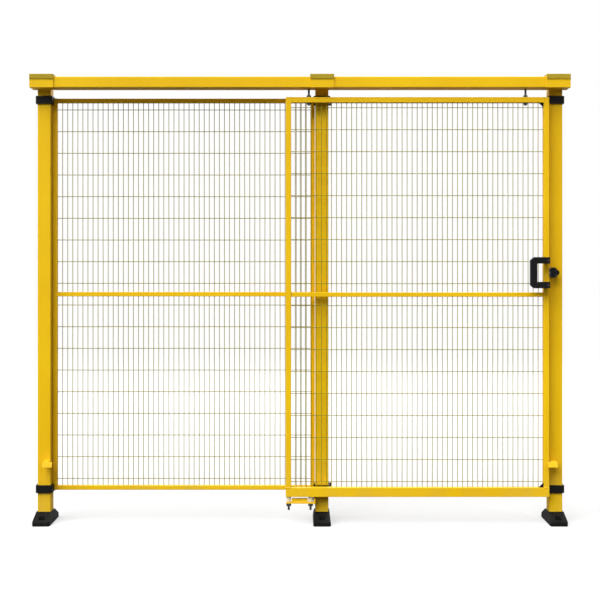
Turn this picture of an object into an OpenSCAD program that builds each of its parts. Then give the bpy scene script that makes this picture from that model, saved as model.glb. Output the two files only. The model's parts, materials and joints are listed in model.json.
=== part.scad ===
// Machine guard fence section. The left bay is a fixed mesh panel. The right bay is a doorway,
// closed by a mesh door that hangs from a track along the front of the three posts and slides
// to the left. Millimetres, +Z up. The front, with the door, is -Y and +X is to the right of it.
// The origin is on the floor, in the middle of the middle post.

/* [Bays] */
// Width of the fixed mesh panel
panel_w = 1206; // [606:50:1506]
// Gap between the panel and each of its posts
panel_gap = 2; // [2:1:6]
// Distance from the middle post to the right post, centre to centre
door_bay = 1070; // [800:10:1300]

/* [Posts and feet] */
// Side of the square post tube
post_w = 60; // [50:5:80]
// Wall of the post tube
post_t = 2; // [1.5:0.5:4]
// Height of the top of the posts
post_h = 1980; // [1400:20:2400]
// Thickness of the plate that closes the top of a post
head_t = 5; // [3:1:8]
// Length of a foot, across the fence
foot_l = 205; // [160:5:260]
// Width of a foot at the floor
foot_w = 80; // [74:2:120]
// Width of a foot at its top
foot_top_w = 70; // [66:2:90]
// Height of a foot
foot_h = 52; // [40:2:90]
// Height of the upright ends of a foot
foot_end_h = 18; // [12:1:30]
// Thickness of the foot under the post
foot_floor = 8; // [5:1:12]
// Distance between the two anchor holes of a foot
anchor_spacing = 150; // [130:5:200]
// Radius of an anchor hole
anchor_r = 6.5; // [4.5:0.5:9]

/* [Post clamps] */
// Side of the clamp ring
clamp_w = 76; // [70:1:90]
// Height of a clamp
clamp_h = 35; // [25:1:60]
// Height of the clamp's seat under the panel's corner
clamp_seat = 6; // [4:1:12]
// How far the clamp's lugs reach out beyond the post's side
lug_reach = 16; // [12:1:20]

/* [Fixed panel] */
// Height of the panel's lower edge above the floor
panel_low = 144; // [80:2:250]
// Height of the panel's upper edge above the floor
panel_high = 1946; // [1300:2:2300]
// Side of the panel's square frame tube
frame_w = 20; // [15:5:40]
// Wall of the frame tubes
frame_t = 1.5; // [1:0.5:3]
// Distance of the panel's middle plane behind the middle of the posts
panel_y = 15; // [0:1:18]

/* [Mesh] */
// Across the corners of a six-sided mesh wire
wire_d = 3.2; // [2:0.2:5]
// Distance between upright wires, as near as the frame lets it be
wire_pitch = 23.1; // [20:0.1:60]
// Distance between level wires
level_pitch = 100; // [50:10:200]
// Depth that crossing wires are welded into each other
weld_depth = 0.6; // [0.3:0.1:1]

/* [Sliding door] */
// Distance from the middle post's centre to the door's left edge, when closed
door_overlap = 165; // [120:5:220]
// Gap between the closed door and the right post
door_gap = 10; // [6:1:20]
// Depth of the door frame, front to back
door_d = 30; // [25:5:40]
// Width of the door's upright tubes
stile_w = 25; // [15:5:40]
// Wall of the door's tubes and of its bottom channel
door_t = 2; // [1.5:0.5:3]
// Height of the door's top tube
top_rail_h = 25; // [20:5:50]
// Height of the channel along the door's bottom
channel_h = 42; // [30:2:60]
// Height of the door's lower edge above the floor
door_low = 128; // [60:2:200]
// Height of the door's upper edge above the floor
door_high = 1941; // [1301:2:2301]
// Distance of the door's middle plane in front of the middle of the posts
door_y = 60; // [60:1:90]
// Leg length of the corner gussets
gusset_w = 22; // [16:2:60]

/* [Track and trolleys] */
// Depth of the track, front to back
track_d = 80; // [60:5:120]
// Height of the track
track_h = 50; // [40:5:80]
// Wall of the track
track_t = 3; // [2:0.5:4]
// Width of the slot under the track
slot_w = 16; // [14:1:24]
// Length of track beyond the middle of the end posts
track_overhang = 50; // [40:5:120]
// Distance of a trolley from the door's edge, as near as the mesh wires let it be
hanger_inset = 105; // [60:5:200]
// Radius of a trolley wheel
wheel_r = 17; // [12:1:20]
// Width of a trolley wheel
wheel_w = 10; // [8:1:14]
// Distance between the two axles of a trolley
axle_spacing = 52; // [44:2:80]
// Radius of a hanger bolt
hanger_r = 5; // [4:0.5:6]
// Width of the saddles that hold the track on the posts
saddle_w = 108; // [80:2:160]
// Thickness of the saddle plate
saddle_t = 5; // [3:1:8]
// Thickness of the cap on a saddle
cap_t = 6; // [4:1:8]
// Distance that the cap comes down over the front of a saddle
cap_drop = 17; // [8:1:30]

/* [Floor guide] */
// Height of the guide, from its base plate to the top of its bar
guide_h = 23; // [16:1:40]
// Gap between the guide and the door
guide_gap = 8; // [5:1:15]
// Radius of the guide rollers
roller_r = 10; // [7:0.5:11]

/* [Handle, latch and stops] */
// Width of the pull handle
handle_w = 86; // [70:2:120]
// Height of the pull handle
handle_h = 140; // [110:2:200]
// Distance from the pull handle to the door's edge
handle_inset = 8; // [2:1:10]
// Thickness of the handle's bars
handle_bar = 29; // [18:1:34]
// Distance the handle stands in front of the door
handle_reach = 52; // [40:1:80]
// Height of the middle of the handle and latch above the floor
handle_z = 1145; // [900:5:1300]
// Width of the door stops, seen from the front
stop_w = 43; // [40:1:60]
// Height of the door stops
stop_h = 24; // [20:2:50]
// Distance of a stop's outer side from the middle of its post
stop_inset = 5; // [0:1:10]
// Height of the middle of the door stops above the floor
stop_z = 276; // [200:4:600]

/* [Hidden] */
$fn = 64;

YELLOW = [0.93, 0.72, 0.06];
BLACK = [0.07, 0.07, 0.07];
OLIVE = [0.68, 0.59, 0.15];
AMBER = [0.90, 0.66, 0.10];
ZINC = [0.68, 0.69, 0.70];
NYLON = [0.24, 0.24, 0.25];
CREAM = [0.92, 0.87, 0.74];

fit = 0.2;
post_round = 3;
left_x = -(panel_w + 2 * panel_gap + post_w);
right_x = door_bay;
post_front = -post_w / 2;

panel_x0 = left_x + post_w / 2 + panel_gap;
panel_x1 = panel_x0 + panel_w;
mid_z = (panel_low + panel_high) / 2;

door_x0 = -door_overlap;
door_x1 = right_x - post_w / 2 - door_gap;
door_back = -door_y + door_d / 2;
door_front = -door_y - door_d / 2;

// Trolleys hang midway between two upright wires of the door, so that their nuts clear the mesh.
door_gaps = round((door_x1 - door_x0 - 2 * stile_w) / wire_pitch);
door_pitch = (door_x1 - door_x0 - 2 * stile_w) / door_gaps;
hanger_gaps = round((hanger_inset - stile_w) / door_pitch - 0.5) + 0.5;
hanger_from_edge = stile_w + hanger_gaps * door_pitch;
hanger_x = [door_x0 + hanger_from_edge, door_x1 - hanger_from_edge];

track_y0 = -door_y - track_d / 2;
track_y1 = -door_y + track_d / 2;
track_x0 = left_x - track_overhang;
track_x1 = right_x + track_overhang;
track_top = post_h + track_h;
axle_z = post_h + track_t + 0.4 + wheel_r;

// A square or oblong with rounded corners, centred.
module rounded_plate(w, d, r) {
  square([w - 2 * r, d], center = true);
  square([w, d - 2 * r], center = true);
  for (sx = [-1, 1], sy = [-1, 1])
    translate([sx * (w / 2 - r), sy * (d / 2 - r)]) circle(r);
}

// The section of a tube with rounded outer corners.
module tube_section(w, d, wall, r) {
  difference() {
    rounded_plate(w, d, r);
    square([w - 2 * wall, d - 2 * wall], center = true);
  }
}

// An upright tube with both ends plugged.
module upright_tube(w, d, wall, length) {
  linear_extrude(length) tube_section(w, d, wall, wall);
  for (z = [0, length - wall])
    translate([0, 0, z]) linear_extrude(wall) square([w - wall, d - wall], center = true);
}

// Turns a section drawn in width and height into a bar along +X.
module along_x(length) {
  rotate([90, 0, 90]) linear_extrude(length) children();
}

// ---- Feet and posts ----

module foot_body() {
  side = [
    [-foot_l / 2, 0], [foot_l / 2, 0], [foot_l / 2, foot_end_h],
    [foot_top_w / 2 + 3, foot_h], [-foot_top_w / 2 - 3, foot_h], [-foot_l / 2, foot_end_h]
  ];
  front = [
    [-foot_w / 2, 0], [foot_w / 2, 0], [foot_w / 2, foot_end_h / 2],
    [foot_top_w / 2, foot_h], [-foot_top_w / 2, foot_h], [-foot_w / 2, foot_end_h / 2]
  ];
  intersection() {
    translate([-foot_w / 2, 0, 0]) along_x(foot_w) polygon(side);
    translate([0, foot_l / 2, 0]) rotate([90, 0, 0]) linear_extrude(foot_l) polygon(front);
    linear_extrude(foot_h) rounded_plate(foot_w, foot_l, 12);
  }
}

// A cast foot with a socket for the post and a sunk seat for each anchor.
module foot(x) {
  color(BLACK) translate([x, 0, 0]) difference() {
    foot_body();
    translate([0, 0, foot_floor])
      linear_extrude(foot_h) square(post_w + 2 * fit, center = true);
    for (s = [-1, 1]) translate([0, s * anchor_spacing / 2, 0]) {
      translate([0, 0, -1]) cylinder(h = foot_h, r = anchor_r);
      translate([0, 0, foot_end_h - 4]) cylinder(h = foot_h, r = anchor_r * 2);
    }
  }
}

module post(x) {
  color(YELLOW) translate([x, 0, foot_floor]) {
    linear_extrude(post_h - foot_floor) tube_section(post_w, post_w, post_t, post_round);
    translate([0, 0, post_h - foot_floor - head_t])
      linear_extrude(head_t) square(post_w - post_t, center = true);
  }
}

module foot_left() { foot(left_x); }
module foot_middle() { foot(0); }
module foot_right() { foot(right_x); }
module post_left() { post(left_x); }
module post_middle() { post(0); }
module post_right() { post(right_x); }

// ---- Clamps that hold the panel's corners to the posts ----

// The ring of one clamp. On each side in the list (1, -1) it is open for the panel's corner,
// which stands on the clamp's seat, and a lug reaches out behind that corner.
module clamp(sides) {
  corner_back = panel_y + frame_w / 2 + fit;
  lug_t = 7;
  root = 4;
  difference() {
    union() {
      linear_extrude(clamp_h) rounded_plate(clamp_w, clamp_w, 7);
      for (s = sides)
        translate([s * (post_w / 2 + lug_reach / 2 + root / 2), corner_back + lug_t / 2,
                   (clamp_h + clamp_seat) / 2])
          cube([lug_reach - root, lug_t, clamp_h - clamp_seat], center = true);
    }
    translate([0, 0, -1])
      linear_extrude(clamp_h + 2) square(post_w + 2 * fit, center = true);
    for (s = sides)
      translate([s * (post_w / 2 + lug_reach / 2), panel_y, clamp_seat - fit + clamp_h / 2])
        cube([lug_reach + 2, frame_w + 2 * fit, clamp_h], center = true);
  }
}

module clamp_pair(x, sides) {
  color(BLACK) {
    translate([x, 0, panel_low - clamp_seat]) clamp(sides);
    translate([x, 0, panel_high + clamp_seat]) mirror([0, 0, 1]) clamp(sides);
  }
}

// Clamps of the middle post are alike on both sides, although only one side holds a panel.
module clamps_left() { clamp_pair(left_x, [1]); }
module clamps_middle() { clamp_pair(0, [-1, 1]); }
module clamps_right() { clamp_pair(right_x, []); }

// ---- Track and the saddles that hang it on the posts ----

module door_track() {
  color(YELLOW) translate([track_x0, -door_y, post_h + track_h / 2])
    along_x(track_x1 - track_x0) difference() {
      rounded_plate(track_d, track_h, 4);
      square([track_d - 2 * track_t, track_h - 2 * track_t], center = true);
      translate([0, -track_h / 2]) square([slot_w, 3 * track_t], center = true);
    }
}

// A bent plate: a lip in front of the track, a plate over it, and a leg down to the post's head.
module saddle(x, x0) {
  color(YELLOW) {
    translate([x0, track_y0 - saddle_t, track_top])
      cube([saddle_w, track_d + 2 * saddle_t, saddle_t]);
    translate([x0, track_y0 - saddle_t, post_h])
      cube([saddle_w, saddle_t, track_h + saddle_t]);
    translate([x - post_w / 2, track_y1, post_h])
      cube([post_w, saddle_t, track_h + saddle_t]);
    translate([x - post_w / 2, track_y1, post_h])
      cube([post_w, post_w / 2 - track_y1, saddle_t]);
  }
}

module saddle_left() { saddle(left_x, track_x0); }
module saddle_middle() { saddle(0, -saddle_w / 2); }
module saddle_right() { saddle(right_x, track_x1 - saddle_w); }

// A moulded cap over each saddle, with a skirt in front.
module saddle_covers() {
  skirt_t = 3;
  front = track_y0 - saddle_t - skirt_t;
  back = track_y1 + saddle_t;
  low = track_top + saddle_t;
  color(OLIVE)
    for (x0 = [track_x0, -saddle_w / 2, track_x1 - saddle_w]) {
      translate([x0, front, low]) cube([saddle_w, back - front, cap_t]);
      translate([x0, front, low - cap_drop]) cube([saddle_w, skirt_t, cap_drop + cap_t]);
    }
}

// ---- Mesh ----

// A welded sheet that fills the space from x0 to x1 and from z0 to z1. Upright wires lie in
// front of the level ones, and the level ones are set out from the middle rail at mid_z.
module mesh(x0, x1, z0, z1) {
  gaps = round((x1 - x0) / wire_pitch);
  pitch = (x1 - x0) / gaps;
  offset_y = (wire_d * 0.866 - weld_depth) / 2;
  rows = [for (z = [mid_z + level_pitch / 2 : level_pitch : z1]) z];
  color(YELLOW) union() {
    for (i = [1 : gaps - 1])
      translate([x0 + i * pitch, -offset_y, z0]) cylinder(h = z1 - z0, d = wire_d, $fn = 6);
    for (z = rows)
      translate([x0, offset_y, z]) rotate([0, 90, 0]) cylinder(h = x1 - x0, d = wire_d, $fn = 6);
  }
}

// The same sheet mirrored below the middle rail.
module below_middle() {
  translate([0, 0, 2 * mid_z]) mirror([0, 0, 1]) children();
}

// ---- Fixed panel ----

module panel_stiles() {
  color(YELLOW)
    for (x = [panel_x0 + frame_w / 2, panel_x1 - frame_w / 2])
      translate([x, panel_y, panel_low])
        upright_tube(frame_w, frame_w, frame_t, panel_high - panel_low);
}

module panel_rails() {
  color(YELLOW)
    for (z = [panel_low + frame_w / 2, mid_z, panel_high - frame_w / 2])
      translate([panel_x0 + frame_w, panel_y, z])
        along_x(panel_w - 2 * frame_w) tube_section(frame_w, frame_w, frame_t, frame_t);
}

module panel_mesh_upper() {
  translate([0, panel_y, 0])
    mesh(panel_x0 + frame_w, panel_x1 - frame_w, mid_z + frame_w / 2, panel_high - frame_w);
}

module panel_mesh_lower() {
  translate([0, panel_y, 0]) below_middle()
    mesh(panel_x0 + frame_w, panel_x1 - frame_w, mid_z + frame_w / 2, panel_high - frame_w);
}

// ---- Sliding door ----

module door_stiles() {
  stile_low = door_low + channel_h;
  color(YELLOW)
    for (x = [door_x0 + stile_w / 2, door_x1 - stile_w / 2])
      translate([x, -door_y, stile_low])
        upright_tube(stile_w, door_d, door_t, door_high - stile_low);
}

// The top tube, with a hole through it for each hanger bolt.
module door_top_rail() {
  color(YELLOW) difference() {
    translate([door_x0 + stile_w, -door_y, door_high - top_rail_h / 2])
      along_x(door_x1 - door_x0 - 2 * stile_w)
        tube_section(door_d, top_rail_h, door_t, door_t);
    for (x = hanger_x)
      translate([x, -door_y, door_high - top_rail_h - 1])
        cylinder(h = top_rail_h + 2, r = hanger_r + fit);
  }
}

module door_mid_rail() {
  color(YELLOW) translate([door_x0 + stile_w, -door_y, mid_z])
    along_x(door_x1 - door_x0 - 2 * stile_w)
      tube_section(frame_w, frame_w, frame_t, frame_t);
}

// An upturned channel that runs over the guide rollers.
module door_bottom_channel() {
  color(YELLOW) translate([door_x0, -door_y, door_low])
    along_x(door_x1 - door_x0) difference() {
      translate([0, channel_h / 2]) rounded_plate(door_d, channel_h, 1.5);
      translate([0, channel_h / 2 - door_t])
        square([door_d - 2 * door_t, channel_h], center = true);
    }
}

module door_gussets() {
  corner_x = door_x1 - stile_w;
  plate = [[0, 0], [-gusset_w, 0], [0, gusset_w]];
  color(BLACK) translate([corner_x, -door_y - 5, 0]) {
    translate([0, 0, door_low + channel_h]) rotate([90, 0, 0]) linear_extrude(4) polygon(plate);
    translate([0, 0, door_high - top_rail_h]) mirror([0, 0, 1])
      rotate([90, 0, 0]) linear_extrude(4) polygon(plate);
  }
}

module door_mesh_upper() {
  translate([0, -door_y, 0])
    mesh(door_x0 + stile_w, door_x1 - stile_w, mid_z + frame_w / 2, door_high - top_rail_h);
}

module door_mesh_lower() {
  translate([0, -door_y, 0]) below_middle()
    mesh(door_x0 + stile_w, door_x1 - stile_w, mid_z + frame_w / 2,
         2 * mid_z - door_low - channel_h);
}

// ---- Trolleys ----

// The carriage between the wheels: a block with two axles and a hole for the hanger bolt.
module trolley(x) {
  body_d = slot_w - 2;
  axle_l = body_d + 2 * wheel_w + 10;
  color(ZINC) translate([x, -door_y, axle_z]) difference() {
    union() {
      linear_extrude(22, center = true) rounded_plate(axle_spacing + 30, body_d, 3);
      for (s = [-1, 1]) translate([s * axle_spacing / 2, 0, 0])
        rotate([90, 0, 0]) cylinder(h = axle_l, r = 4, center = true);
    }
    cylinder(h = 60, r = hanger_r + fit, center = true);
  }
}

module trolley_left() { trolley(hanger_x[0]); }
module trolley_right() { trolley(hanger_x[1]); }

module trolley_wheels() {
  wheel_y = slot_w / 2 + wheel_w / 2 + 1;
  color(NYLON)
    for (x = hanger_x, sx = [-1, 1], sy = [-1, 1])
      translate([x + sx * axle_spacing / 2, -door_y + sy * wheel_y, axle_z])
        rotate([90, 0, 0]) difference() {
          cylinder(h = wheel_w, r = wheel_r, center = true);
          cylinder(h = wheel_w + 2, r = 4.05, center = true);
        }
}

// Each bolt hangs by its head on the carriage and goes down through the door's top tube, with
// a nut above the tube and one below it.
module hanger_bolts() {
  rail_low = door_high - top_rail_h;
  tail = 12;
  head_z = axle_z + 11;
  color(ZINC)
    for (x = hanger_x) translate([x, -door_y, 0]) {
      translate([0, 0, rail_low - tail]) cylinder(h = head_z + 2 - rail_low + tail, r = hanger_r);
      translate([0, 0, head_z]) cylinder(h = 7, r = 9, $fn = 6);
      translate([0, 0, door_high]) cylinder(h = 9, r = 10, $fn = 6);
      translate([0, 0, rail_low - 8]) cylinder(h = 8, r = 9, $fn = 6);
    }
}

// ---- Floor guide on the middle post ----

guide_top = door_low - guide_gap;
guide_low = guide_top - guide_h;
guide_plate_t = 6;
guide_d = 24;
guide_x1 = post_front - guide_plate_t;
pin_x = [door_x0 + 14, guide_x1 - 16];

// A base plate with a stiffening bar on it, welded to a plate that is bolted to the post's left
// side. That plate stays low in front, so that the door passes over it.
module guide_bracket() {
  back = post_w / 2 - 8;
  side = [
    [-door_y - guide_d / 2, guide_top], [-door_y - guide_d / 2, guide_low],
    [door_back, guide_low], [post_front + 2, guide_low - 12],
    [back, guide_low - 12], [back, guide_top + 10],
    [post_front + 2, guide_top + 10], [door_back, guide_top]
  ];
  base_x0 = pin_x[0] - guide_d / 2;
  bar_x0 = pin_x[0] + roller_r + 3;
  bar_x1 = pin_x[1] - roller_r - 3;
  color(YELLOW) difference() {
    union() {
      translate([base_x0, -door_y - guide_d / 2, guide_low])
        cube([guide_x1 - base_x0, guide_d, guide_plate_t]);
      translate([bar_x0, -door_y - guide_d / 4, guide_low])
        cube([bar_x1 - bar_x0, guide_d / 2, guide_h]);
      translate([guide_x1, 0, 0]) along_x(guide_plate_t) polygon(side);
    }
    for (x = pin_x)
      translate([x, -door_y, guide_low - 1]) cylinder(h = guide_plate_t + 2, r = 5 + fit);
  }
}

// Long rollers that stand on the base plate and reach up into the door's bottom channel.
module guide_rollers() {
  low = guide_low + guide_plate_t + 1;
  roller_l = door_low + channel_h - 8 - low;
  color(CREAM)
    for (x = pin_x)
      translate([x, -door_y, low]) difference() {
        cylinder(h = roller_l, r = roller_r);
        translate([0, 0, -1]) cylinder(h = roller_l + 2, r = 5.05);
      }
}

// Pins that carry the rollers, with a nut and a long end below the base plate.
module guide_pins() {
  tail = 30;
  pin_top = door_low + channel_h - 7;
  color(ZINC)
    for (x = pin_x) translate([x, -door_y, 0]) {
      translate([0, 0, guide_low - tail]) cylinder(h = pin_top - guide_low + tail, r = 5);
      translate([0, 0, guide_low - 12]) cylinder(h = 12, r = 11, $fn = 6);
    }
}

// ---- Door stops ----

pad_t = 5;

// An arm on the front of an end post, with a wedge-shaped lip in front of the door's edge, which
// keeps the door from swinging out. The door comes from the side (1, -1).
module door_stop(x, side) {
  half = stop_h / 2;
  lip_back = door_front - 6;
  wedge = [
    [lip_back, -half], [lip_back, half], [lip_back - 3, half],
    [lip_back - 10, 4 - half], [lip_back - 10, -half]
  ];
  arm_w = post_w / 2 - stop_inset;
  arm_x0 = side > 0 ? stop_inset : -post_w / 2;
  lip_x0 = side > 0 ? stop_inset : -stop_inset - stop_w;
  translate([x + lip_x0, 0, stop_z]) along_x(stop_w) polygon(wedge);
  translate([x + arm_x0 + arm_w / 2, post_front, stop_z]) rotate([90, 0, 0])
    linear_extrude(post_front - lip_back) tube_section(arm_w, stop_h, 3, 3);
}

module door_stops() {
  color(YELLOW) {
    door_stop(left_x, 1);
    door_stop(right_x, -1);
  }
}

// Elastic pads on the sides of the stops that the door runs up to.
module stop_buffers() {
  color(AMBER)
    for (x = [left_x + post_w / 2 + pad_t / 2, right_x - post_w / 2 - pad_t / 2])
      translate([x, -door_y, stop_z]) cube([pad_t, door_d - 4, stop_h - 6], center = true);
}

// ---- Latch and handle ----

// A moulded block on the right post with a slot that takes the tongue, pointed on its far side,
// and two sunk seats for its screws.
module latch_keeper() {
  keeper_d = 54;
  x0 = door_x1 + 6;
  x1 = right_x + 4;
  outline = [
    [x0, -20], [x0 + 18, -24], [x1 - 4, -9], [x1, -4],
    [x1, 4], [x1 - 4, 9], [x0 + 18, 24], [x0, 20]
  ];
  color(BLACK) translate([0, post_front, handle_z]) rotate([90, 0, 0]) difference() {
    linear_extrude(keeper_d) polygon(outline);
    translate([x0 - 1, -13, door_y + post_front - 8]) cube([28, 26, 16]);
    translate([x0 - 1, -30, -1]) cube([right_x - post_w / 2 - x0 + 0.5, 60, 8]);
    for (z = [-12, 12])
      translate([x0 + 22, z, keeper_d - 5]) cylinder(h = 6, r = 4.5);
  }
}

// A steel tongue fixed inside the door's right tube.
module latch_tongue() {
  color(ZINC) translate([door_x1, -door_y - 3, handle_z - 6]) cube([22, 6, 12]);
}

// A moulded bow: two arms from the door's right tube, each with a sunk seat for its screw, and
// an upright grip to the left of them.
module door_handle() {
  x1 = door_x1 - handle_inset;
  x0 = x1 - handle_w;
  h = handle_h / 2;
  cut = 14;
  bow_d = 28;
  arm_w = stile_w - handle_inset;
  outer = [
    [x0, -h + cut], [x0 + cut, -h], [x1, -h], [x1, h], [x0 + cut, h], [x0, h - cut]
  ];
  color(BLACK) translate([0, door_front, handle_z]) rotate([90, 0, 0]) difference() {
    union() {
      translate([0, 0, handle_reach - bow_d]) linear_extrude(bow_d) difference() {
        polygon(outer);
        translate([x0 + handle_bar, -h + handle_bar])
          square([handle_w, handle_h - 2 * handle_bar]);
      }
      for (z = [-h, h - handle_bar])
        translate([x1 - arm_w, z, 0]) cube([arm_w, handle_bar, handle_reach - bow_d + 1]);
    }
    for (s = [-1, 1])
      translate([x1 - arm_w / 2, s * (h - handle_bar / 2), handle_reach - 6])
        cylinder(h = 7, r = 5.5);
  }
}

foot_left();
foot_middle();
foot_right();
post_left();
post_middle();
post_right();
clamps_left();
clamps_middle();
clamps_right();
saddle_left();
saddle_middle();
saddle_right();
saddle_covers();
door_track();
panel_stiles();
panel_rails();
panel_mesh_upper();
panel_mesh_lower();
door_stops();
stop_buffers();
guide_bracket();
guide_rollers();
guide_pins();
latch_keeper();
door_stiles();
door_top_rail();
door_mid_rail();
door_bottom_channel();
door_gussets();
door_mesh_upper();
door_mesh_lower();
trolley_left();
trolley_right();
trolley_wheels();
hanger_bolts();
door_handle();
latch_tongue();
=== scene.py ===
# %% [markdown]
# # A machine guard fence with a sliding mesh door
# Guard fencing like this keeps people out of a machine's reach. Square posts stand on bolted feet,
# clamps hold a mesh panel between them, and a mesh door hangs on wheels from a track.
# The solid parts come from the construction model. This lesson adds what makes them look real:
# round mesh wire with its weld spots, bolts and screws, softened edges, and the finishes.
# The construction model is loaded first. Most later sizes and places are read from it, and the
# rest are named values.

# %% Load the construction model
import json
import math

import bmesh
import bpy
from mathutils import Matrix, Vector


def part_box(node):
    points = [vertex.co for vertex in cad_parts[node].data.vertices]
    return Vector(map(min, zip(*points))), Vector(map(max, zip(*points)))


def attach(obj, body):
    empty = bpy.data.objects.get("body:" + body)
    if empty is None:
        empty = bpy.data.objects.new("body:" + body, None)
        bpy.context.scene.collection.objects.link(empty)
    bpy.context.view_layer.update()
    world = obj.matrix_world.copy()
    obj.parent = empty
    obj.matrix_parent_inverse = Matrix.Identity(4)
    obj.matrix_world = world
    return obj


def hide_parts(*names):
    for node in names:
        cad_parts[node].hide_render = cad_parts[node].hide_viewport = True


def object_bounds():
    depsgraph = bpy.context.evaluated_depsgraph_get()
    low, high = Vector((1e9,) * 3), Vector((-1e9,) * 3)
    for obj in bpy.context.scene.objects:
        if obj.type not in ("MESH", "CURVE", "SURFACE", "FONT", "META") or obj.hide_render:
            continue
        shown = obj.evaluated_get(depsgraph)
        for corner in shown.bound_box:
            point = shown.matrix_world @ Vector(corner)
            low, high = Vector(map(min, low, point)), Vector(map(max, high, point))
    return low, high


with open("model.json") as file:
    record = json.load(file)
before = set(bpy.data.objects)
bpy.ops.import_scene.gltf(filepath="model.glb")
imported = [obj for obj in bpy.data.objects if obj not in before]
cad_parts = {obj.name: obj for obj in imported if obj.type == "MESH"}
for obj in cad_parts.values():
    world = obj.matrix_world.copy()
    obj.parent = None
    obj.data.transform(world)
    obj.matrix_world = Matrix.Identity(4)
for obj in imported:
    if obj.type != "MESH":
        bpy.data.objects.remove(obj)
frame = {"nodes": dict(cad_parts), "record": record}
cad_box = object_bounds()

nodes = frame["nodes"]
scene = bpy.context.scene
mm = 0.001

# %% [markdown]
# ## A small vocabulary for building finishes
# A finish is a small network of nodes. Writing the same five lines for each node hides what the
# network does, so a helper adds a node, sets its values and joins its inputs in one call.
# All patterns read Object coordinates. The pieces sit at the origin, so one unit is one metre
# and a pattern has the same scale on every piece.

# %% Helper for shader networks
class Finish:
    """A new material, with its shader and its object coordinates ready to use."""

    def __init__(self, name):
        self.material = bpy.data.materials.new(name)
        self.material.use_nodes = True
        self.tree = self.material.node_tree
        self.shader = self.tree.nodes["Principled BSDF"]
        self.coords = self.node("ShaderNodeTexCoord").outputs["Object"]

    def node(self, kind, inputs=None, **settings):
        new = self.tree.nodes.new(kind)
        for key, value in settings.items():
            setattr(new, key, value)
        for key, value in (inputs or {}).items():
            self.feed(new.inputs[key], value)
        return new

    def feed(self, socket, value):
        if isinstance(value, bpy.types.NodeSocket):
            self.tree.links.new(value, socket)
        else:
            socket.default_value = value

    def noise(self, scale, detail, roughness=0.5):
        return self.node("ShaderNodeTexNoise", {
            "Vector": self.coords, "Scale": scale,
            "Detail": detail, "Roughness": roughness}).outputs["Fac"]

    def spread(self, value, low, high, to_low=0.0, to_high=1.0):
        """Stretches the part of a pattern between low and high, and clips the rest."""
        return self.node("ShaderNodeMapRange", {
            "Value": value, "From Min": low, "From Max": high,
            "To Min": to_low, "To Max": to_high}).outputs["Result"]

    def mix(self, factor, first, second):
        new = self.node("ShaderNodeMix", data_type="RGBA")
        self.feed(new.inputs[0], factor)
        self.feed(new.inputs[6], first)
        self.feed(new.inputs[7], second)
        return new.outputs[2]

    def math(self, operation, first, second):
        new = self.node("ShaderNodeMath", operation=operation)
        self.feed(new.inputs[0], first)
        self.feed(new.inputs[1], second)
        return new.outputs[0]

    def edges(self, radius):
        """1 on outer edges and corners, 0 on flat faces: the bent normal of a rounded edge
        is compared with the true one."""
        bent = self.node("ShaderNodeBevel", {"Radius": radius}, samples=6)
        true = self.node("ShaderNodeNewGeometry")
        dot = self.node("ShaderNodeVectorMath", operation="DOT_PRODUCT")
        self.feed(dot.inputs[0], bent.outputs["Normal"])
        self.feed(dot.inputs[1], true.outputs["Normal"])
        return self.spread(dot.outputs["Value"], 0.995, 0.86)

    def bump(self, height, distance, strength):
        bump = self.node("ShaderNodeBump", {
            "Height": height, "Distance": distance, "Strength": strength})
        self.feed(self.shader.inputs["Normal"], bump.outputs["Normal"])


def colour(hex_code):
    """A screen colour, such as "EFC20A", as the linear colour that the shaders use."""
    screen = [int(hex_code[i:i + 2], 16) / 255 for i in (0, 2, 4)]
    return [c / 12.92 if c <= 0.04045 else ((c + 0.055) / 1.055) ** 2.4 for c in screen] + [1.0]


print("finish helper ready")

# %% [markdown]
# ## Yellow powder coat
# Steel guards are powder coated: dry paint is dusted on and baked. The coat is thick, evenly
# coloured and slightly pebbled, like orange peel, and it goes thin on sharp edges. The colour
# gets a very slow drift, the pebbling is bump, and a Bevel node finds the edges, where the coat
# is a little paler and duller. Near the floor it gathers dust.

# %% Powder coat
def powder_coat(name, paint, faded, worn, dust):
    f = Finish(name)
    edge_wear = 0.55
    dust_cover = 0.35
    drift = f.spread(f.noise(2.2, 3.0), 0.35, 0.65)
    tone = f.mix(drift, colour(paint), colour(faded))
    edge = f.math("MULTIPLY", f.edges(1.6 * mm), f.spread(f.noise(60.0, 4.0), 0.35, 0.7))
    tone = f.mix(f.math("MULTIPLY", edge, edge_wear), tone, colour(worn))
    height = f.node("ShaderNodeSeparateXYZ", {"Vector": f.coords}).outputs["Z"]
    low = f.math("MULTIPLY", f.spread(height, 0.35, 0.02), f.spread(f.noise(9.0, 5.0), 0.3, 0.75))
    tone = f.mix(f.math("MULTIPLY", low, dust_cover), tone, colour(dust))
    f.feed(f.shader.inputs["Base Color"], tone)
    rough = f.spread(f.noise(28.0, 4.0), 0.3, 0.7, 0.46, 0.60)
    f.feed(f.shader.inputs["Roughness"], f.math("ADD", rough, f.math("MULTIPLY", low, 0.25)))
    f.shader.inputs["Specular IOR Level"].default_value = 0.2
    f.bump(f.noise(420.0, 2.0), 0.3 * mm, 0.5)
    return f.material


yellow = powder_coat("yellow_powder_coat", "EFC20A", "E7B707", "F3DC8C", "A89664")
print("made", yellow.name)
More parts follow.
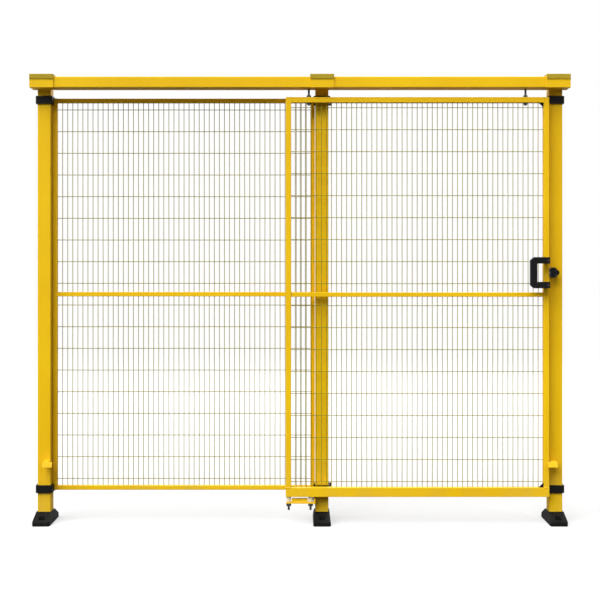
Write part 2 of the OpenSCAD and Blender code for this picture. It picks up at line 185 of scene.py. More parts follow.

# %% [markdown]
# ## Mesh wire
# The wires have the same kind of coat as the tubes. Their darker and greener yellow is painted
# shade: in the tubes' own yellow, thin wires seen against white render too pale.
# The finish has no edge search, which would cost time on thousands of small faces.

# %% Coated wire
def coated_wire():
    f = Finish("yellow_coated_wire")
    drift = f.spread(f.noise(5.0, 3.0), 0.35, 0.65)
    # The darker, greener yellow is painted shade on the thin wires.
    f.feed(f.shader.inputs["Base Color"], f.mix(drift, colour("9A8F1E"), colour("8E831C")))
    f.feed(f.shader.inputs["Roughness"], f.spread(f.noise(90.0, 3.0), 0.3, 0.7, 0.38, 0.55))
    f.shader.inputs["Specular IOR Level"].default_value = 0.2
    f.bump(f.noise(900.0, 1.0), 0.15 * mm, 0.4)
    return f.material


wire_coat_painted_shade = coated_wire()
print("made", wire_coat_painted_shade.name)

# %% [markdown]
# ## Black pieces
# The feet are black cast metal with a coarse sandy skin. The clamps, handle and latch are moulded
# plastic with a fine etched grain. The caps over the saddles are the same kind of plastic; their
# olive is painted shade, the yellow at about half its brightness. The stops' pads are amber, cast
# from a tough elastic that stays flat and dull. Each edge is slightly paler, from handling and the
# mould.

# %% Cast and moulded finishes
def moulded_finish(name, base, edge_tone, grain, depth, rough_low, rough_high, dusty=0.0):
    f = Finish(name)
    drift = f.spread(f.noise(14.0, 4.0), 0.3, 0.7)
    tone = f.mix(drift, colour(base[0]), colour(base[1]))
    edge = f.math("MULTIPLY", f.edges(1.4 * mm), f.spread(f.noise(80.0, 3.0), 0.3, 0.65))
    tone = f.mix(f.math("MULTIPLY", edge, 0.6), tone, colour(edge_tone))
    if dusty:
        height = f.node("ShaderNodeSeparateXYZ", {"Vector": f.coords}).outputs["Z"]
        low = f.math("MULTIPLY", f.spread(height, 0.07, 0.0), f.spread(f.noise(24.0, 5.0), 0.35, 0.7))
        tone = f.mix(f.math("MULTIPLY", low, dusty), tone, colour("5A564C"))
    f.feed(f.shader.inputs["Base Color"], tone)
    f.feed(f.shader.inputs["Roughness"], f.spread(f.noise(40.0, 3.0), 0.3, 0.7, rough_low, rough_high))
    f.shader.inputs["Specular IOR Level"].default_value = 0.12
    f.bump(f.noise(grain, 2.5, 0.6), depth, 0.5)
    return f.material


cast_black = moulded_finish(
    "cast_black", base=("080808", "0D0D0C"), edge_tone="20201F",
    grain=330.0, depth=0.5 * mm, rough_low=0.62, rough_high=0.78, dusty=0.05)
moulded_black = moulded_finish(
    "moulded_black", base=("0A0A0B", "0F0F10"), edge_tone="262628",
    grain=1400.0, depth=0.12 * mm, rough_low=0.42, rough_high=0.55)
# The caps' olive is painted shade: the fence's yellow at about half its brightness.
moulded_olive = moulded_finish(
    "moulded_olive", base=("B29A2A", "A68F26"), edge_tone="C9B456",
    grain=1400.0, depth=0.12 * mm, rough_low=0.42, rough_high=0.55)
amber_pad = moulded_finish(
    "amber_pad", base=("D9A21C", "CF9616"), edge_tone="E3BB58",
    grain=700.0, depth=0.2 * mm, rough_low=0.62, rough_high=0.75)
print("made", cast_black.name, moulded_black.name, moulded_olive.name, amber_pad.name)

# %% [markdown]
# ## Zinc and nylon
# The trolleys, the latch tongue and the bolts of the saddles and the guide are zinc plated:
# bright but cloudy metal, with patches where the crystals catch the light differently. The
# screws, the hanger bolts and the guide's pins have a darker plating, and the anchor nuts are
# blackened. The track's wheels are grey nylon and the guide's rollers are of natural, cream
# nylon. Both are smooth and slightly waxy.

# %% Zinc plating and nylon
def zinc_plate(name, pale, dark):
    f = Finish(name)
    cells = f.node("ShaderNodeTexVoronoi", {"Vector": f.coords, "Scale": 240.0}).outputs["Distance"]
    cloud = f.math("ADD", f.math("MULTIPLY", cells, 0.5), f.math("MULTIPLY", f.noise(70.0, 3.0), 0.6))
    tone = f.mix(f.spread(cloud, 0.3, 0.8), colour(pale), colour(dark))
    f.feed(f.shader.inputs["Base Color"], tone)
    f.shader.inputs["Metallic"].default_value = 1.0
    f.feed(f.shader.inputs["Roughness"], f.spread(f.noise(130.0, 4.0), 0.3, 0.7, 0.26, 0.46))
    f.bump(f.noise(600.0, 3.0), 0.1 * mm, 0.3)
    return f.material


def nylon_finish(name, first, second):
    f = Finish(name)
    drift = f.spread(f.noise(30.0, 3.0), 0.3, 0.7)
    f.feed(f.shader.inputs["Base Color"], f.mix(drift, colour(first), colour(second)))
    f.feed(f.shader.inputs["Roughness"], f.spread(f.noise(60.0, 3.0), 0.3, 0.7, 0.34, 0.46))
    f.bump(f.noise(500.0, 2.0), 0.1 * mm, 0.3)
    return f.material


zinc = zinc_plate("zinc_plate", "C9CBCC", "9A9DA0")
dark_zinc = zinc_plate("dark_plated_steel", "5A5B5C", "37383A")
black_steel = zinc_plate("blackened_steel", "242424", "161616")
nylon = nylon_finish("grey_nylon", "4B4C4E", "57585A")
cream_nylon = nylon_finish("cream_nylon", "F0E3BE", "E8D9B0")
print("made", zinc.name, dark_zinc.name, black_steel.name, nylon.name, cream_nylon.name)

# %% [markdown]
# ## Give each solid its finish
# The construction model names a material slot for each piece. The slot decides the finish,
# so a new piece with the same slot would get the right one too. The hanger bolts and the
# guide's pins are zinc pieces that take the darker plating instead.

# %% Finishes for the loaded pieces
finish_of_slot = {
    "yellow_paint": yellow, "mesh_paint": wire_coat_painted_shade, "black_casting": cast_black,
    "black_moulding": moulded_black, "olive_moulding": moulded_olive, "amber_pad": amber_pad,
    "zinc": zinc, "nylon": nylon, "cream_nylon": cream_nylon,
}
slot_of_node = {entry["node"]: entry["material_slot"] for entry in frame["record"]["subparts"]}
body_of_node = {
    name: body
    for body, names in frame["record"]["behaviour"]["bodies"].items() for name in names
}
for name, piece in nodes.items():
    piece.data.materials.clear()
    piece.data.materials.append(finish_of_slot[slot_of_node[name]])
for name in ("hanger_bolts", "guide_pins"):
    nodes[name].data.materials[0] = dark_zinc
print("finished", len(nodes), "loaded pieces")

# %% [markdown]
# ## Soften the hard edges
# A real edge is never perfectly sharp. Cast, moulded and bent pieces have a small radius that
# catches a line of light, and without it a render looks like a drawing. The loaded mesh must
# not change, so each such piece is copied, its loose triangles are joined, flat faces are
# merged into one, and the copy gets a Bevel modifier. The copy then stands in for the solid.

# %% Copies with rounded edges
def as_plain_mesh(source, name):
    """A modifier's result as a new object with a plain mesh and nothing live on it."""
    seen = source.evaluated_get(bpy.context.evaluated_depsgraph_get())
    mesh = bpy.data.meshes.new_from_object(seen)
    plain = bpy.data.objects.new(name, mesh)
    scene.collection.objects.link(plain)
    bpy.data.objects.remove(source)
    return plain


def put_on(piece, body):
    """Gives a finished piece its body."""
    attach(piece, body)


def soften(node_name, radius):
    """Puts a copy with rounded edges in the place of a solid."""
    name = node_name + "_soft"
    sharp_from = math.radians(32)
    mesh = nodes[node_name].data.copy()
    work = bmesh.new()
    work.from_mesh(mesh)
    bmesh.ops.remove_doubles(work, verts=work.verts, dist=0.01 * mm)
    bmesh.ops.dissolve_limit(
        work, angle_limit=math.radians(1.0), verts=work.verts, edges=work.edges)
    work.to_mesh(mesh)
    work.free()
    source = bpy.data.objects.new(name + "_source", mesh)
    scene.collection.objects.link(source)
    bevel = source.modifiers.new("round the edges", "BEVEL")
    bevel.width = radius
    bevel.segments = 3
    bevel.limit_method = "ANGLE"
    bevel.angle_limit = sharp_from
    bevel.use_clamp_overlap = True
    mesh.shade_smooth()
    even = source.modifiers.new("keep flat faces flat", "WEIGHTED_NORMAL")
    even.weight = 60
    plain = as_plain_mesh(source, name)
    put_on(plain, body_of_node[node_name])
    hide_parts(node_name)


soft_radius = {
    "foot_left": 2.2, "foot_middle": 2.2, "foot_right": 2.2,
    "clamps_left": 1.2, "clamps_middle": 1.2, "clamps_right": 1.2,
    "saddle_left": 0.8, "saddle_middle": 0.8, "saddle_right": 0.8,
    "saddle_covers": 1.5, "door_handle": 3.5, "latch_keeper": 1.5,
    "door_gussets": 0.6, "stop_buffers": 1.5, "guide_bracket": 0.6, "door_stops": 0.8,
}
for name, radius in soft_radius.items():
    soften(name, radius * mm)
print("softened", len(soft_radius), "pieces")

# %% [markdown]
# ## The mesh sheets
# Guard mesh is made of close upright wires welded to wide-spaced level ones. Forty-nine uprights
# and nine levels in each sheet would be dull work by hand, and a wire can't be counted wrong
# when a rule places it, so a Geometry Nodes tree lays out the sheet: lines for the wires, a
# round profile swept along each, and a small flattened bead where two wires are welded.
# A trace of random bend keeps long wires from looking machined.

# %% Tree helpers
def new_tree(name, inputs):
    """A Geometry Nodes tree with named inputs. Returns the tree and its input and output nodes."""
    tree = bpy.data.node_groups.new(name, "GeometryNodeTree")
    for label, kind, default in inputs:
        socket = tree.interface.new_socket(label, in_out="INPUT", socket_type=kind)
        if default is not None:
            socket.default_value = default
    tree.interface.new_socket("Geometry", in_out="OUTPUT", socket_type="NodeSocketGeometry")
    return tree, tree.nodes.new("NodeGroupInput"), tree.nodes.new("NodeGroupOutput")


def add(tree, kind, inputs=None, **settings):
    """Adds a node, sets its values, and joins any input that is given as another's output."""
    new = tree.nodes.new(kind)
    for key, value in settings.items():
        setattr(new, key, value)
    for key, value in (inputs or {}).items():
        if isinstance(value, bpy.types.NodeSocket):
            tree.links.new(value, new.inputs[key])
        else:
            new.inputs[key].default_value = value
    return new


def close_tree(tree, output, geometry, material):
    """Ends a tree as the export needs it: real geometry, with its finish."""
    real = add(tree, "GeometryNodeRealizeInstances", {"Geometry": geometry})
    dressed = add(tree, "GeometryNodeSetMaterial", {"Geometry": real.outputs[0], "Material": material})
    tree.links.new(dressed.outputs[0], output.inputs[0])
    return tree


def grow(tree, name, mesh, values):
    """Runs a tree on a mesh with these values, and returns the result as a plain mesh."""
    carrier = bpy.data.objects.new(name + "_carrier", mesh)
    scene.collection.objects.link(carrier)
    modifier = carrier.modifiers.new(name, "NODES")
    modifier.node_group = tree
    for item in tree.interface.items_tree:
        if item.in_out == "INPUT" and item.name in values:
            modifier[item.identifier] = values[item.name]
    return as_plain_mesh(carrier, name)


print("tree helpers ready")

# %% Tree for a welded sheet
def welded_sheet_tree(material):
    tree, given, output = new_tree("welded_sheet", [
        ("Uprights", "NodeSocketInt", 49), ("Levels", "NodeSocketInt", 9),
        ("First Upright", "NodeSocketVector", None), ("Upright Step", "NodeSocketFloat", 0.023),
        ("Upright Length", "NodeSocketFloat", 0.86), ("First Level", "NodeSocketVector", None),
        ("Level Step", "NodeSocketFloat", 0.1), ("Level Length", "NodeSocketFloat", 1.16),
        ("Wire Radius", "NodeSocketFloat", 1.6 * mm), ("Bend", "NodeSocketFloat", 0.25 * mm),
        ("First Weld", "NodeSocketVector", None), ("Seed", "NodeSocketInt", 3),
    ])
    value = given.outputs
    sides = 8
    points_along = 9
    bend_in_depth = 0.3
    profile = add(tree, "GeometryNodeCurvePrimitiveCircle", {
        "Resolution": sides, "Radius": value["Wire Radius"]})

    def wires(count, start, step, length, step_axis, length_axis):
        offset = add(tree, "ShaderNodeCombineXYZ", {step_axis: step})
        points = add(tree, "GeometryNodeMeshLine", {
            "Count": count, "Start Location": start, "Offset": offset.outputs[0]})
        end = add(tree, "ShaderNodeCombineXYZ", {length_axis: length})
        line = add(tree, "GeometryNodeCurvePrimitiveLine", {"End": end.outputs[0]})
        fine = add(tree, "GeometryNodeResampleCurve", {
            "Curve": line.outputs[0], "Count": points_along})
        placed = add(tree, "GeometryNodeInstanceOnPoints", {
            "Points": points.outputs[0], "Instance": fine.outputs[0]})
        real = add(tree, "GeometryNodeRealizeInstances", {"Geometry": placed.outputs[0]})
        depth_bend = add(tree, "ShaderNodeMath", {
            0: value["Bend"], 1: bend_in_depth}, operation="MULTIPLY")
        amount = add(tree, "ShaderNodeCombineXYZ", {
            step_axis: value["Bend"], "Y": depth_bend.outputs[0]})
        wobble = add(tree, "FunctionNodeRandomValue", {
            "Min": (-1.0, -1.0, -1.0), "Max": (1.0, 1.0, 1.0), "Seed": value["Seed"]},
            data_type="FLOAT_VECTOR")
        shift = add(tree, "ShaderNodeVectorMath", {
            0: wobble.outputs[0], 1: amount.outputs[0]}, operation="MULTIPLY")
        bent = add(tree, "GeometryNodeSetPosition", {
            "Geometry": real.outputs[0], "Offset": shift.outputs[0]})
        tube = add(tree, "GeometryNodeCurveToMesh", {
            "Curve": bent.outputs[0], "Profile Curve": profile.outputs[0], "Fill Caps": True})
        return add(tree, "GeometryNodeSetShadeSmooth", {"Geometry": tube.outputs[0]}).outputs[0]

    uprights = wires(value["Uprights"], value["First Upright"], value["Upright Step"],
                     value["Upright Length"], "X", "Z")
    levels = wires(value["Levels"], value["First Level"], value["Level Step"],
                   value["Level Length"], "Z", "X")

    across = add(tree, "ShaderNodeCombineXYZ", {"X": value["Upright Step"]})
    up = add(tree, "ShaderNodeCombineXYZ", {"Z": value["Level Step"]})
    row = add(tree, "GeometryNodeMeshLine", {
        "Count": value["Uprights"], "Start Location": value["First Weld"], "Offset": across.outputs[0]})
    column = add(tree, "GeometryNodeMeshLine", {"Count": value["Levels"], "Offset": up.outputs[0]})
    grid = add(tree, "GeometryNodeInstanceOnPoints", {
        "Points": column.outputs[0], "Instance": row.outputs[0]})
    spots = add(tree, "GeometryNodeRealizeInstances", {"Geometry": grid.outputs[0]})
    bead = add(tree, "GeometryNodeMeshIcoSphere", {"Radius": 1.0, "Subdivisions": 1})
    size = add(tree, "FunctionNodeRandomValue", {
        "Min": (1.25, 0.95, 1.25), "Max": (1.6, 1.1, 1.6), "Seed": value["Seed"]},
        data_type="FLOAT_VECTOR")
    scale = add(tree, "ShaderNodeVectorMath", {
        0: size.outputs[0], "Scale": value["Wire Radius"]}, operation="SCALE")
    beads = add(tree, "GeometryNodeInstanceOnPoints", {
        "Points": spots.outputs[0], "Instance": bead.outputs[0], "Scale": scale.outputs[0]})
    round_beads = add(tree, "GeometryNodeSetShadeSmooth", {"Geometry": beads.outputs[0]})
    joined = add(tree, "GeometryNodeJoinGeometry")
    for part in (uprights, levels, round_beads.outputs[0]):
        tree.links.new(part, joined.inputs[0])
    return close_tree(tree, output, joined.outputs[0], material)


sheet_tree = welded_sheet_tree(wire_coat_painted_shade)
print("sheet tree has", len(sheet_tree.nodes), "nodes")

# %% [markdown]
# The solid sheets hold the true sizes, so each visible sheet reads its box from the solid
# that it stands for. The levels count outward from the middle rail at a fixed step, and the
# uprights divide the width evenly, as near to their nominal step as they can.

# %% Four sheets
wire_radius = 1.6 * mm
wire_bend = 0.25 * mm
weld_depth = 0.6 * mm
wire_step = 23.1 * mm
level_step = 100 * mm
panel_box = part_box("panel_rails")
middle_z = (panel_box[0][2] + panel_box[1][2]) / 2


def lay_sheet(node_name):
    """Puts a sheet of round wires in the place of a solid one."""
    low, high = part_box(node_name)
    gaps = round((high[0] - low[0]) / wire_step)
    step = (high[0] - low[0]) / gaps
    centre_y = (low[1] + high[1]) / 2
    upright_y = low[1] + wire_radius
    level_y = upright_y + 2 * wire_radius - weld_depth
    above = low[2] > middle_z
    reach = high[2] - middle_z if above else middle_z - low[2]
    rows = math.floor(reach / level_step + 0.5)
    first = middle_z + level_step / 2 if above else middle_z - level_step * (rows - 0.5)
    empty = bpy.data.meshes.new(node_name + "_carrier")
    piece = grow(sheet_tree, node_name + "_wires", empty, {
        "Uprights": gaps - 1, "Levels": rows, "Upright Step": step, "Level Step": level_step,
        "First Upright": (low[0] + step, upright_y, low[2]), "Upright Length": high[2] - low[2],
        "First Level": (low[0], level_y, first), "Level Length": high[0] - low[0],
        "First Weld": (low[0] + step, centre_y, first), "Seed": 3 + len(node_name),
        "Wire Radius": wire_radius, "Bend": wire_bend,
    })
    put_on(piece, body_of_node[node_name])
    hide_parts(node_name)
    print(node_name, gaps - 1, "uprights,", rows, "levels,", len(piece.data.polygons), "faces")


for name in ("panel_mesh_upper", "panel_mesh_lower", "door_mesh_upper", "door_mesh_lower"):
    lay_sheet(name)

# %% [markdown]
# ## Bolts and screws
# Fasteners repeat all over the fence, in a few kinds. Each kind is turned from an outline, as on
# a lathe: a washer with a hexagon head, or a round head with a socket. One tree then puts a
# fastener on each point of a small mesh, whose points and directions say where the fence has
# them. Keeping places apart from shapes makes both easy to change.

# %% Fastener shapes
def lathe(profile, sides, name):
    """Turns an outline of (radius, height) pairs around Z into a closed mesh."""
    mesh = bpy.data.meshes.new(name)
    work = bmesh.new()
    rings = []
    for radius, height in profile:
        if radius == 0:
            rings.append([work.verts.new((0, 0, height))])
            continue
        ring = []
        for i in range(sides):
            turn = 2 * math.pi * i / sides
            ring.append(work.verts.new((radius * math.cos(turn), radius * math.sin(turn), height)))
        rings.append(ring)
    for lower, upper in zip(rings, rings[1:]):
        for i in range(sides):
            j = (i + 1) % sides
            if len(lower) == 1:
                work.faces.new((lower[0], upper[j], upper[i]))
            elif len(upper) == 1:
                work.faces.new((lower[i], lower[j], upper[0]))
            else:
                work.faces.new((lower[i], lower[j], upper[j], upper[i]))
    bmesh.ops.recalc_face_normals(work, faces=work.faces)
    work.to_mesh(mesh)
    work.free()
    return mesh


def joined_shape(name, meshes):
    """Several meshes as one object, kept out of the scene as a pattern for a tree."""
    work = bmesh.new()
    for mesh in meshes:
        work.from_mesh(mesh)
    whole = bpy.data.meshes.new(name)
    work.to_mesh(whole)
    work.free()
    return bpy.data.objects.new(name, whole)


def hex_bolt(radius, height):
    """A hexagon head with a chamfered top on a washer, the underside at height zero."""
    base = 1.6 * mm
    head = lathe([(0, base), (radius, base), (radius, base + 0.86 * height),
                  (0.9 * radius, base + height), (0, base + height)], 6, "head")
    washer = lathe([(0, 0), (1.28 * radius, 0), (1.28 * radius, 0.8 * base),
                    (1.2 * radius, base), (0, base)], 20, "washer")
    return joined_shape("hex_bolt", [head, washer])


def anchor_stud(radius, height):
    """A washer and nut with the end of the stud standing out of it."""
    bolt = hex_bolt(radius, height)
    stud = lathe([(0, height), (0.5 * radius, height), (0.5 * radius, height + 9 * mm),
                  (0.42 * radius, height + 10.5 * mm), (0, height + 10.5 * mm)], 16, "stud")
    return joined_shape("anchor_stud", [bolt.data, stud])


def socket_screw(radius, height):
    """A round head with a round socket, sunk by about two thirds of the head's height."""
    shell = lathe([(0, 0), (radius, 0), (radius, 0.8 * height), (0.9 * radius, height),
                   (0.5 * radius, height), (0.46 * radius, 0.9 * height),
                   (0.46 * radius, 0.3 * height), (0, 0.3 * height)], 18, "head")
    return joined_shape("socket_screw", [shell])


print("fastener shapes ready")

# %% Tree that sets a fastener on each point
def fastener_tree():
    tree, given, output = new_tree("set_fasteners", [
        ("Geometry", "NodeSocketGeometry", None), ("Fastener", "NodeSocketObject", None),
        ("Finish", "NodeSocketMaterial", None), ("Seed", "NodeSocketInt", 11),
    ])
    value = given.outputs
    shape = add(tree, "GeometryNodeObjectInfo", {"Object": value["Fastener"]})
    facing = add(tree, "GeometryNodeInputNamedAttribute", {
        "Name": "facing"}, data_type="FLOAT_VECTOR")
    aim = add(tree, "FunctionNodeAlignRotationToVector", {
        "Vector": facing.outputs[0]}, axis="Z")
    spin = add(tree, "FunctionNodeRandomValue", {
        "Min": (0.0, 0.0, 0.0), "Max": (0.0, 0.0, math.tau), "Seed": value["Seed"]},
        data_type="FLOAT_VECTOR")
    own_turn = add(tree, "FunctionNodeEulerToRotation", {0: spin.outputs[0]})
    turned = add(tree, "FunctionNodeRotateRotation", {
        0: aim.outputs[0], 1: own_turn.outputs[0]}, rotation_space="LOCAL")
    placed = add(tree, "GeometryNodeInstanceOnPoints", {
        "Points": value["Geometry"], "Instance": shape.outputs["Geometry"],
        "Rotation": turned.outputs[0]})
    return close_tree(tree, output, placed.outputs[0], value["Finish"])


fastener_maker = fastener_tree()


def set_fasteners(name, body, pattern, material, places):
    """Puts the pattern at each (position, direction) and rides the lot on one body."""
    mesh = bpy.data.meshes.new(name + "_places")
    mesh.from_pydata([place for place, facing in places], [], [])
    facing = mesh.attributes.new("facing", "FLOAT_VECTOR", "POINT")
    for entry, (place, direction) in zip(facing.data, places):
        entry.vector = direction
    piece = grow(fastener_maker, name, mesh, {"Fastener": pattern, "Finish": material})
    piece.data.shade_smooth()
    piece.data.set_sharp_from_angle(angle=math.radians(30))
    put_on(piece, body)
    print(name, "on", body, "-", len(places), "pieces")


print("fastener tree has", len(fastener_maker.nodes), "nodes")

# %% [markdown]
# ## Where the fasteners go
# Each foot has an anchor at its front and back. Each clamp has two screws at its back, where
# the door can't catch them. Each saddle is bolted to its post's head and to the back of the
# track. The guide has two bolts, and the handle and the latch block have two screws each.

# %% Places on the feet, clamps and saddles
up = Vector((0, 0, 1))
front = Vector((0, -1, 0))
back = Vector((0, 1, 0))
to_left = Vector((-1, 0, 0))

post_boxes = [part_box("post_" + side) for side in ("left", "middle", "right")]
post_x = [(low[0] + high[0]) / 2 for low, high in post_boxes]
middle_post_low, middle_post_high = post_boxes[1]

anchor_reach = 75 * mm
anchor_seat = 14 * mm
anchors = [((x, s * anchor_reach, anchor_seat), up) for x in post_x for s in (-1, 1)]
anchor_nut = anchor_stud(radius=9.8 * mm, height=9 * mm)
set_fasteners("anchor_nuts", "fence", anchor_nut, black_steel, anchors)

clamp_low, clamp_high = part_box("clamps_middle")
half_clamp = 17.5 * mm
clamp_screw_reach = 22 * mm
clamp_rows = (clamp_low[2] + half_clamp, clamp_high[2] - half_clamp)
clamp_screws = [
    ((x + s * clamp_screw_reach, clamp_high[1], z), back)
    for x in post_x for z in clamp_rows for s in (-1, 1)]
clamp_screw = socket_screw(radius=6.5 * mm, height=5 * mm)
set_fasteners("clamp_screws", "fence", clamp_screw, dark_zinc, clamp_screws)

track_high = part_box("door_track")[1]
saddle_plate = 5 * mm
saddle_bolt_reach = 17 * mm
head_bolt_y = 12 * mm
leg_bolt_drop = 18 * mm
head_bolts = [
    ((x + s * saddle_bolt_reach, head_bolt_y, middle_post_high[2] + saddle_plate), up)
    for x in post_x for s in (-1, 1)]
leg_bolts = [
    ((x + s * saddle_bolt_reach, track_high[1] + saddle_plate, track_high[2] - leg_bolt_drop), back)
    for x in post_x for s in (-1, 1)]
plate_bolt = hex_bolt(radius=7.5 * mm, height=5.3 * mm)
set_fasteners("saddle_bolts", "fence", plate_bolt, zinc, head_bolts + leg_bolts)

# %% Places on the guide, handle and latch
guide_low, guide_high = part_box("guide_bracket")
guide_plate = 6 * mm
guide_bolt_rows = (-16 * mm, 8 * mm)
guide_middle = (guide_low[2] + guide_high[2]) / 2
guide_bolts = [
    ((middle_post_low[0] - guide_plate, y, guide_middle), to_left) for y in guide_bolt_rows]
set_fasteners("guide_bolts", "fence", plate_bolt, zinc, guide_bolts)

handle_low, handle_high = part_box("door_handle")
handle_seat_depth = 6 * mm
handle_screw_inset = 8.5 * mm
half_handle_bar = 14.5 * mm
handle_screws = [
    ((handle_high[0] - handle_screw_inset, handle_low[1] + handle_seat_depth, z), front)
    for z in (handle_low[2] + half_handle_bar, handle_high[2] - half_handle_bar)]
handle_screw = socket_screw(radius=4.8 * mm, height=4.5 * mm)
set_fasteners("handle_screws", "door", handle_screw, dark_zinc, handle_screws)

keeper_low, keeper_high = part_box("latch_keeper")
keeper_seat_depth = 5 * mm
keeper_screw_inset = 22 * mm
keeper_screw_rise = 12 * mm
keeper_middle = (keeper_low[2] + keeper_high[2]) / 2
keeper_screws = [
    ((keeper_low[0] + keeper_screw_inset, keeper_low[1] + keeper_seat_depth,
      keeper_middle + s * keeper_screw_rise), front)
    for s in (-1, 1)]
keeper_screw = socket_screw(radius=4 * mm, height=4 * mm)
set_fasteners("keeper_screws", "fence", keeper_screw, dark_zinc, keeper_screws)

# %% [markdown]
# ## Weld seams
# The frame tubes are welded where they meet, and the coat over a seam shows it as a row of low
# overlapping ripples. A tree turns each seam's line into a row of flattened beads, a little
# uneven in size, as a hand lays them. The seams lie on the front and the back of each joint
# between a level tube and an upright one, and where the door's uprights stand on its channel.

# %% Tree for a welded seam
def seam_tree(material):
    tree, given, output = new_tree("weld_seam", [
        ("Geometry", "NodeSocketGeometry", None), ("Ripple Step", "NodeSocketFloat", 1.5 * mm),
        ("Ripple Radius", "NodeSocketFloat", 2.2 * mm), ("Seed", "NodeSocketInt", 5),
    ])
    value = given.outputs
    path = add(tree, "GeometryNodeMeshToCurve", {"Mesh": value["Geometry"]})
    points = add(tree, "GeometryNodeCurveToPoints", {
        "Curve": path.outputs[0], "Length": value["Ripple Step"]}, mode="LENGTH")
    ripple = add(tree, "GeometryNodeMeshIcoSphere", {"Radius": 1.0, "Subdivisions": 2})
    size = add(tree, "FunctionNodeRandomValue", {
        "Min": (0.85, 0.4, 0.85), "Max": (1.15, 0.5, 1.15), "Seed": value["Seed"]},
        data_type="FLOAT_VECTOR")
    scale = add(tree, "ShaderNodeVectorMath", {
        0: size.outputs[0], "Scale": value["Ripple Radius"]}, operation="SCALE")
    row = add(tree, "GeometryNodeInstanceOnPoints", {
        "Points": points.outputs[0], "Instance": ripple.outputs[0], "Scale": scale.outputs[0]})
    smooth = add(tree, "GeometryNodeSetShadeSmooth", {"Geometry": row.outputs[0]})
    return close_tree(tree, output, smooth.outputs[0], material)


seam_maker = seam_tree(yellow)


def weld_seams(name, body, lines):
    """Lays a seam along each (start, end) line and rides the lot on one body."""
    points = [point for line in lines for point in line]
    edges = [(2 * i, 2 * i + 1) for i in range(len(lines))]
    mesh = bpy.data.meshes.new(name + "_lines")
    mesh.from_pydata(points, edges, [])
    piece = grow(seam_maker, name, mesh, {})
    put_on(piece, body)
    print(name, "on", body, "-", len(lines), "seams,", len(piece.data.polygons), "faces")


# %% Seams of the two frames
seam_inset = 1 * mm


def joint_lines(x_faces, z_spans, y_faces):
    """Upright seams at each inner stile face, over each level tube's height, front and back."""
    return [((x, y, low + seam_inset), (x, y, high - seam_inset))
            for x in x_faces for low, high in z_spans for y in y_faces]


rails_low, rails_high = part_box("panel_rails")
tube = 20 * mm
door_tube = 25 * mm
panel_spans = [(z, z + tube) for z in (rails_low[2], middle_z - tube / 2, rails_high[2] - tube)]
weld_seams("panel_welds", "fence", joint_lines(
    (rails_low[0], rails_high[0]), panel_spans, (rails_low[1], rails_high[1])))

top_low, top_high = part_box("door_top_rail")
mid_low, mid_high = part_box("door_mid_rail")
stile_low, stile_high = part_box("door_stiles")
door_lines = joint_lines(
    (top_low[0], top_high[0]), [(top_low[2], top_high[2])], (top_low[1], top_high[1]))
door_lines += joint_lines(
    (mid_low[0], mid_high[0]), [(mid_low[2], mid_high[2])], (mid_low[1], mid_high[1]))
for x in (stile_low[0], stile_high[0] - door_tube):
    for y in (stile_low[1], stile_high[1]):
        start = (x + seam_inset, y, stile_low[2])
        end = (x + door_tube - seam_inset, y, stile_low[2])
        door_lines.append((start, end))
weld_seams("door_welds", "door", door_lines)

# %% [markdown]
# ## Stage, light and camera
# The object is shown as in a catalogue: level with the eye, from straight in front, on white.
# The main light is a very broad sun from the upper left. It has no falloff, so a tall post is
# as bright at its foot as at its head. The sky is brightest overhead and dark at the horizon,
# so the shadow below the track fades slowly down each post. A weak lamp on the right and one
# behind keep the far sides readable. Seen directly or in a reflection, the sky and the floor
# are plain white, and the floor keeps a soft shadow.

# %% White world and pale floor
scene.view_settings.view_transform = "Standard"


def seen_directly(tree):
    """1 for rays from the camera, from glossy surfaces and through glass; 0 for light."""
    path = tree.nodes.new("ShaderNodeLightPath")
    total = path.outputs["Is Camera Ray"]
    for name in ("Is Glossy Ray", "Is Transmission Ray"):
        larger = tree.nodes.new("ShaderNodeMath")
        larger.operation = "MAXIMUM"
        tree.links.new(total, larger.inputs[0])
        tree.links.new(path.outputs[name], larger.inputs[1])
        total = larger.outputs[0]
    return total


def pale_world(zenith):
    """White to the eye. Its light grows evenly from nothing at the horizon to the zenith."""
    world = bpy.data.worlds.new("pale_world")
    world.use_nodes = True
    tree = world.node_tree
    direction = tree.nodes.new("ShaderNodeTexCoord").outputs["Generated"]
    split = tree.nodes.new("ShaderNodeSeparateXYZ")
    tree.links.new(direction, split.inputs[0])
    rise = tree.nodes.new("ShaderNodeMapRange")
    rise.inputs["To Max"].default_value = zenith
    tree.links.new(split.outputs["Z"], rise.inputs["Value"])
    light = tree.nodes["Background"]
    light.inputs["Color"].default_value = (1, 1, 1, 1)
    tree.links.new(rise.outputs["Result"], light.inputs["Strength"])
    white = tree.nodes.new("ShaderNodeBackground")
    white.inputs["Color"].default_value = (1, 1, 1, 1)
    white.inputs["Strength"].default_value = 1.0
    mix = tree.nodes.new("ShaderNodeMixShader")
    tree.links.new(seen_directly(tree), mix.inputs[0])
    tree.links.new(light.outputs[0], mix.inputs[1])
    tree.links.new(white.outputs[0], mix.inputs[2])
    tree.links.new(mix.outputs[0], tree.nodes["World Output"].inputs["Surface"])
    scene.world = world


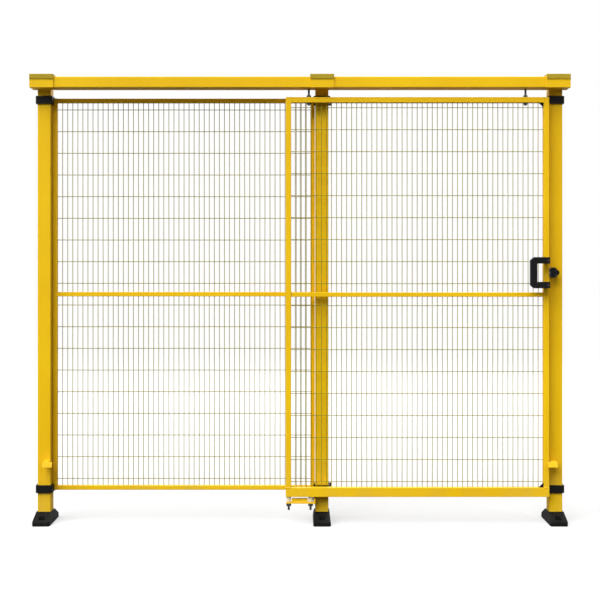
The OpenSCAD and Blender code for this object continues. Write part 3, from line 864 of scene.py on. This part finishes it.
def white_floor(size, bounce, shown, glow):
    """White to the camera, where what it shows of the light and its own glow add up to about
    1, and it keeps shadows. It sends little light back up, so that undersides stay dark."""
    mesh = bpy.data.meshes.new("floor")
    mesh.from_pydata([(-size, -size, 0), (size, -size, 0), (size, size, 0), (-size, size, 0)],
                     [], [(0, 1, 2, 3)])
    floor = bpy.data.objects.new("floor", mesh)
    scene.collection.objects.link(floor)
    f = Finish("white_floor")
    camera_ray = f.node("ShaderNodeLightPath").outputs["Is Camera Ray"]
    f.feed(f.shader.inputs["Base Color"], f.mix(
        camera_ray, (bounce, bounce, bounce, 1), (shown, shown, shown, 1)))
    f.shader.inputs["Roughness"].default_value = 0.9
    f.shader.inputs["Specular IOR Level"].default_value = 0.0
    f.shader.inputs["Emission Color"].default_value = (1, 1, 1, 1)
    f.feed(f.shader.inputs["Emission Strength"], f.math("MULTIPLY", seen_directly(f.tree), glow))
    mesh.materials.append(f.material)


pale_world(zenith=0.5)
white_floor(size=60.0, bounce=0.08, shown=0.3, glow=0.55)
print("stage set")

# %% Lamps and camera
centre = (Vector(cad_box[0]) + Vector(cad_box[1])) / 2


def lit_from(data, place):
    """Puts a light at a place, aimed at the middle of the fence."""
    light = bpy.data.objects.new(data.name, data)
    light.location = place
    light.rotation_euler = (centre - Vector(place)).to_track_quat("-Z", "Y").to_euler()
    scene.collection.objects.link(light)


def broad_sun(name, left_turn, height, spread, strength):
    """A sun that stands so many degrees to the left and above the horizon, spread wide."""
    data = bpy.data.lights.new(name, "SUN")
    data.angle = math.radians(spread)
    data.energy = strength
    turn, rise = math.radians(left_turn), math.radians(height)
    level = math.cos(rise)
    toward = Vector((-level * math.sin(turn), -level * math.cos(turn), math.sin(rise)))
    lit_from(data, centre + 10 * toward)


def soft_lamp(name, place, size, power):
    data = bpy.data.lights.new(name, "AREA")
    data.shape = "RECTANGLE"
    data.size, data.size_y = size
    data.energy = power
    lit_from(data, place)


broad_sun("key", left_turn=40, height=50, spread=60, strength=4.8)
soft_lamp("fill", place=(11.5, -9.0, 8.5), size=(7.0, 6.0), power=375)
soft_lamp("rim", place=(1.0, 6.5, 5.0), size=(3.5, 1.6), power=320)

eye_height = 1.18
distance = 5.0
door_plane = -60 * mm
camera = bpy.data.cameras.new("camera")
camera.sensor_width = 36.0
camera.lens = 66.0
camera.clip_end = 200.0
camera.shift_y = -(eye_height - centre.z) / distance * camera.lens / camera.sensor_width
camera_object = bpy.data.objects.new("camera", camera)
camera_object.location = (centre.x, door_plane - distance, eye_height)
camera_object.rotation_euler = (math.pi / 2, 0, 0)
scene.collection.objects.link(camera_object)
scene.camera = camera_object
print("camera at", [round(v, 3) for v in camera_object.location], "lens", camera.lens)

# %% [markdown]
# ## A box as plain numbers
# A helper gives a box's corners as plain lists of numbers.

# %% A box as plain numbers
def plain(box):
    return [[float(v) for v in corner] for corner in box]
